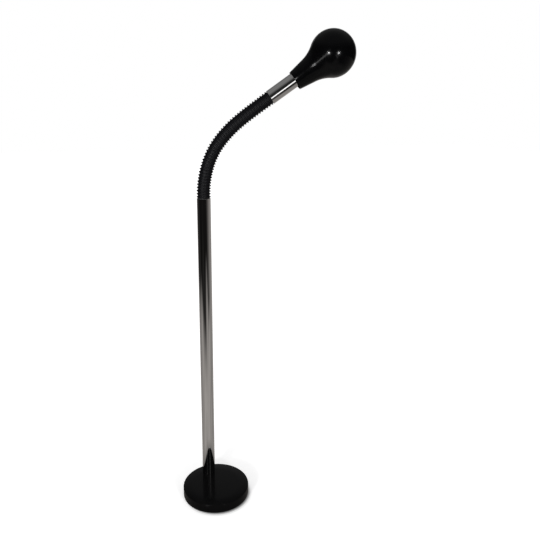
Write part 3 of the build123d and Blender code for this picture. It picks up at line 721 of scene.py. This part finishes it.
opal, opal_shader = principled("opal_glass", (0.86, 0.85, 0.82), 0.12)
opal_cloud = object_pattern(opal, "ShaderNodeTexNoise", Scale=90, Detail=4)
two_tone(opal, opal_shader, opal_cloud.outputs["Fac"], (0.84, 0.83, 0.8), (0.9, 0.89, 0.87))
vary_gloss(opal, opal_shader, opal_cloud.outputs["Fac"], 0.08, 0.18)
opal_shader.inputs["Subsurface Weight"].default_value = 0.3
opal_shader.inputs["Subsurface Radius"].default_value = (0.01, 0.01, 0.01)
dress(opal, "bulb_glass")

# ---- Studio
# A pale floor with a painted shadow under the base and a painted glow that polished pieces mirror, a
# white background, two round lamps left and right of the camera, the dark room that polished pieces
# mirror, and two thin glowing rods, no lamps, that paint the reflected streak on the shade and the
# reflected line on the head tube. None of it is part of the lamp.

heading = math.radians(camera_heading)
toward_camera = Vector((-math.cos(heading), -math.sin(heading), 0))
rightward = Vector((-toward_camera.y, toward_camera.x, 0))


def bearing_way(bearing, dip=0.0):
    """A direction this many degrees right of the way to the camera and below level."""
    bearing, dip = math.radians(bearing), math.radians(dip)
    level = toward_camera * math.cos(bearing) + rightward * math.sin(bearing)
    return level * math.cos(dip) - Vector((0, 0, math.sin(dip)))


def nodes_of(material):
    """An empty node tree with a material output."""
    material.use_nodes = True
    material.node_tree.nodes.clear()
    return material.node_tree, material.node_tree.nodes.new("ShaderNodeOutputMaterial")


def feed(tree, value, socket):
    """Gives a socket a plain number or the output of a node."""
    if isinstance(value, (int, float)):
        socket.default_value = value
    else:
        tree.links.new(value, socket)


def number_node(tree, operation, *values):
    """A math node between numbers or sockets."""
    node = tree.nodes.new("ShaderNodeMath")
    node.operation = operation
    for socket, value in zip(node.inputs, values):
        feed(tree, value, socket)
    return node.outputs[0]


def vector_node(tree, operation, first, second=None, result="Value"):
    """A vector node of a socket, and of a fixed vector where it takes two."""
    node = tree.nodes.new("ShaderNodeVectorMath")
    node.operation = operation
    tree.links.new(first, node.inputs[0])
    if second is not None:
        node.inputs[1].default_value = second
    return node.outputs[result]


def soft_step(tree, value, before, after):
    """A smooth rise or fall from one (station, result) pair to the next."""
    node = tree.nodes.new("ShaderNodeMapRange")
    node.interpolation_type = "SMOOTHSTEP"
    for end, (station, result) in (("Min", before), ("Max", after)):
        node.inputs[f"From {end}"].default_value = station
        node.inputs[f"To {end}"].default_value = result
    tree.links.new(value, node.inputs["Value"])
    return node.outputs["Result"]


def glow(tree, strength, color=(1, 1, 1, 1)):
    """A light-giving shader of this strength, a number or a socket."""
    node = tree.nodes.new("ShaderNodeEmission")
    node.inputs["Color"].default_value = color
    feed(tree, strength, node.inputs["Strength"])
    return node.outputs[0]


def mixed(tree, factor, first, second):
    """One shader or the other, by a ray's kind."""
    node = tree.nodes.new("ShaderNodeMixShader")
    tree.links.new(factor, node.inputs["Fac"])
    tree.links.new(first, node.inputs[1])
    tree.links.new(second, node.inputs[2])
    return node.outputs[0]


def only_mirrored(piece):
    """A piece of the studio that shows in polished surfaces and nowhere else."""
    for ray_kind in ("camera", "diffuse", "transmission", "volume_scatter", "shadow"):
        setattr(piece, f"visible_{ray_kind}", False)


floor_size = 24
deselect()
bpy.ops.mesh.primitive_plane_add(size=floor_size, location=(0, 0, 0))
floor = bpy.context.object
floor.name = "studio_floor"
floor_look = bpy.data.materials.new("studio_floor")
tree, output = nodes_of(floor_look)
spot = tree.nodes.new("ShaderNodeTexCoord").outputs["Object"]
from_pole = vector_node(tree, "SUBTRACT", spot, (0, pole_back, 0), "Vector")
way_out = vector_node(tree, "NORMALIZE", from_pole, result="Vector")
from_centre = vector_node(tree, "LENGTH", spot)

# What polished pieces mirror of the floor is painted: a glow that only they see, with a pool of light
# and a painted shadow of the base. Each pair of stations is in metres from the pole, or in cosines of
# a direction, with the strength of the light at each.
front_fade = (0.5, 0.3), (1.35, 0.014)
left_fade = (1.0, 1.0), (2.1, 0.08)
corner_bearing, corner_fade = 50, ((0.95, 1.0), (1.75, 0.2))
lens_rise = (-0.5, 0.7), (0.9, 1.1)
pool_bearing, pool_fade, pool_edge = 29, ((1.3, 0.28), (2.9, 0.0)), ((0.12, 1.0), (0.65, 0.0))
pale_bearing, pale_strength, pale_least = 125, 0.25, 0.006
back_rise = (0.5, 0.0), (0.95, 0.45)
# a painted shadow of the base darkens what polished pieces mirror of the floor near it
painted_base_shadow = (0.09, 0.45), (0.2, 1.0)       # from the centre of the base
blend_width = 0.01
mirror_color = (1.06, 1.0, 0.955, 1)

# the painted glow of the lit paper round the lamp ends a metre in front of it and further out on the left
in_front = vector_node(tree, "DOT_PRODUCT", from_pole, toward_camera)
to_left = vector_node(tree, "DOT_PRODUCT", from_pole, -rightward)
to_corner = vector_node(tree, "DOT_PRODUCT", from_pole, bearing_way(corner_bearing))
facing_lens = vector_node(tree, "DOT_PRODUCT", way_out, toward_camera)
paper_glow = soft_step(tree, in_front, *front_fade)
for value, fade in ((to_left, left_fade), (to_corner, corner_fade), (facing_lens, lens_rise)):
    paper_glow = number_node(tree, "MULTIPLY", paper_glow, soft_step(tree, value, *fade))
# a painted pool of light lies in front on the right
pool_along = vector_node(tree, "DOT_PRODUCT", from_pole, bearing_way(pool_bearing))
pool_aside = vector_node(tree, "DOT_PRODUCT", from_pole, bearing_way(pool_bearing + 90))
pool_width = soft_step(tree, number_node(tree, "ABSOLUTE", pool_aside), *pool_edge)
pool_glow = number_node(tree, "MULTIPLY", soft_step(tree, pool_along, *pool_fade), pool_width)
# the painted glow on the right side grows paler away from the camera, and it is palest behind the lamp
pale_turn = vector_node(tree, "DOT_PRODUCT", way_out, bearing_way(pale_bearing))
pale_turn = number_node(tree, "POWER", number_node(tree, "MAXIMUM", pale_turn, 0.0), 2.0)
pale_glow = number_node(tree, "MULTIPLY_ADD", pale_turn, pale_strength, pale_least)
back_glow = soft_step(tree, vector_node(tree, "DOT_PRODUCT", way_out, -toward_camera), *back_rise)
mirrored = paper_glow
for patch in (pool_glow, pale_glow, back_glow):
    mirrored = number_node(tree, "SMOOTH_MAX", mirrored, patch, blend_width)
# painted shadow: the mirrored glow darkens towards the base
mirrored = number_node(tree, "MULTIPLY", mirrored, soft_step(tree, from_centre, *painted_base_shadow))
mirror_light = glow(tree, mirrored, mirror_color)

# What the camera sees: white paper with a painted shadow under the base, a dark line that is wider
# on the side away from the light, and a glow that is weaker near the base and under the painted
# shadow, which makes the shadow softer and wider.
paper_white = 0.8
painted_shadow_shift = 0.0052
painted_shadow_rise = (0.078, 0.0), (0.099, 1.0)
lift_rise = (0.1, 0.49), (0.5, 0.75)
paper = tree.nodes.new("ShaderNodeBsdfDiffuse")
paper.inputs["Color"].default_value = (paper_white, paper_white, paper_white, 1)
# the painted shadow darkens the paper towards the base, more on the right
under_base = vector_node(tree, "DISTANCE", spot, rightward * painted_shadow_shift)
painted_shadow_mask = soft_step(tree, under_base, *painted_shadow_rise)
paper_under_painted_shadow = tree.nodes.new("ShaderNodeBsdfDiffuse")
tree.links.new(soft_step(tree, painted_shadow_mask, (0, 0), (1, paper_white)), paper_under_painted_shadow.inputs["Color"])
# painted shade: the glow that keeps the paper white falls off towards the base
lift = number_node(tree, "MULTIPLY", soft_step(tree, from_centre, *lift_rise), painted_shadow_mask)
shown = tree.nodes.new("ShaderNodeAddShader")
tree.links.new(paper_under_painted_shadow.outputs[0], shown.inputs[0])
tree.links.new(glow(tree, lift), shown.inputs[1])
ray = tree.nodes.new("ShaderNodeLightPath")
seen = mixed(tree, ray.outputs["Is Camera Ray"], paper.outputs[0], shown.outputs[0])
seen = mixed(tree, ray.outputs["Is Glossy Ray"], seen, mirror_light)
tree.links.new(seen, output.inputs["Surface"])
floor.data.materials.append(floor_look)

# The room that polished pieces mirror: a dark sphere, paler above and behind the lamp.
room_radius = 7
ceiling_rise = (0.45, 0.02), (0.9, 0.2)
backdrop_rise = (0.6, 0.0), (1.0, 0.55)
room_blend = 0.05
deselect()
bpy.ops.mesh.primitive_uv_sphere_add(segments=48, ring_count=24, radius=room_radius, location=(0, 0, 0))
room = bpy.context.object
room.name = "studio_room"
bpy.ops.object.shade_smooth()
room_look = bpy.data.materials.new("studio_room")
tree, output = nodes_of(room_look)
spot = tree.nodes.new("ShaderNodeTexCoord").outputs["Object"]
height = vector_node(tree, "DOT_PRODUCT", spot, (0, 0, 1 / room_radius))
behind = vector_node(tree, "DOT_PRODUCT", spot, -toward_camera / room_radius)
ceiling = soft_step(tree, height, *ceiling_rise)
backdrop = soft_step(tree, behind, *backdrop_rise)
room_glow = glow(tree, number_node(tree, "SMOOTH_MAX", ceiling, backdrop, room_blend))
tree.links.new(room_glow, output.inputs["Surface"])
room.data.materials.append(room_look)
only_mirrored(room)

lamp_reach = 3.0            # from the middle of the ball
lamp_size = 0.34
lamp_dip = 2.5
left_bearing, left_power = -25.0, 44
right_bearing, right_power = 23.6, 34
for side, bearing, power in (("left", left_bearing, left_power), ("right", right_bearing, right_power)):
    way = bearing_way(bearing, lamp_dip)
    facing = way.to_track_quat("Z", "Y").to_euler()
    bpy.ops.object.light_add(type="AREA", location=ball_middle + way * lamp_reach, rotation=facing)
    lamp = bpy.context.object
    lamp.name = f"studio_lamp_{side}"
    lamp.data.shape = "DISK"
    lamp.data.size = lamp_size
    lamp.data.energy = power


def mirrored_way(axis, across, lean, view):
    """Where a surface sends the line of sight, if its normal leans this far from an axis."""
    lean = math.radians(lean)
    normal = axis * math.cos(lean) + across * math.sin(lean)
    return normal * 2 * normal.dot(view) - view


def glowing_rod(name, first, middle, last, radius, brightness):
    """A curved rod of light through three points, which only polished pieces mirror."""
    rod = bent_curve(first, middle * 2 - (first + last) / 2, last)
    rod.name = name
    rod.data.bevel_depth = radius
    rod.data.bevel_resolution = 3
    only(rod)
    bpy.ops.object.convert(target="MESH")
    rod = bpy.context.object
    look = bpy.data.materials.new(name)
    rod_tree, rod_output = nodes_of(look)
    rod_tree.links.new(glow(rod_tree, brightness), rod_output.inputs["Surface"])
    rod.data.materials.append(look)
    only_mirrored(rod)


# the streak on the shade is a painted reflection of this glowing rod, no lamp: from the left lamp's
# image on the ball to the hollow below it
streak_reach = 0.6
streak_radius = 0.034
streak_brightness = 4.6
hollow_lean = 127           # of the hollow's normal from the head's axis, where the streak ends
ball_view = (camera.location - ball_middle).normalized()
left_lamp_normal = (bearing_way(left_bearing, lamp_dip) + ball_view).normalized()
lamp_lean = math.degrees(left_lamp_normal.angle(head_axis))
meridian = (left_lamp_normal - head_axis * left_lamp_normal.dot(head_axis)).normalized()
streak = [ball_middle + mirrored_way(head_axis, meridian, lean, ball_view) * streak_reach
          for lean in (lamp_lean, (lamp_lean + hollow_lean) / 2, hollow_lean)]
glowing_rod("studio_streak_left", *streak, streak_radius, streak_brightness)

# the white line down the head tube is a painted reflection of this glowing rod, no lamp
line_reach = 1.1
line_radius = 0.075
line_brightness = 1.3
line_leans = (7, 11, 15)
tube_middle = neck_end + head_axis * head_tube_bare / 2
tube_view = (camera.location - tube_middle).normalized()
tube_front = (tube_view - head_axis * tube_view.dot(head_axis)).normalized()
tube_side = head_axis.cross(tube_front)
line = [tube_middle + mirrored_way(tube_front, tube_side, lean, tube_view) * line_reach
        for lean in line_leans]
glowing_rod("studio_line_tube", *line, line_radius, line_brightness)

# the background is white where it is seen or mirrored, and lights the lamp at half that strength
world_light = 0.5
world = bpy.data.worlds.new("studio")
bpy.context.scene.world = world
world.use_nodes = True
tree = world.node_tree
background = tree.nodes["Background"]
ray = tree.nodes.new("ShaderNodeLightPath")
plain = number_node(tree, "ADD", ray.outputs["Is Camera Ray"], ray.outputs["Is Glossy Ray"])
plain = number_node(tree, "ADD", plain, ray.outputs["Is Transmission Ray"])
tree.links.new(soft_step(tree, plain, (0, world_light), (1, 1)), background.inputs["Strength"])
background.inputs["Color"].default_value = (1, 1, 1, 1)
bpy.context.scene.view_settings.view_transform = "Standard"
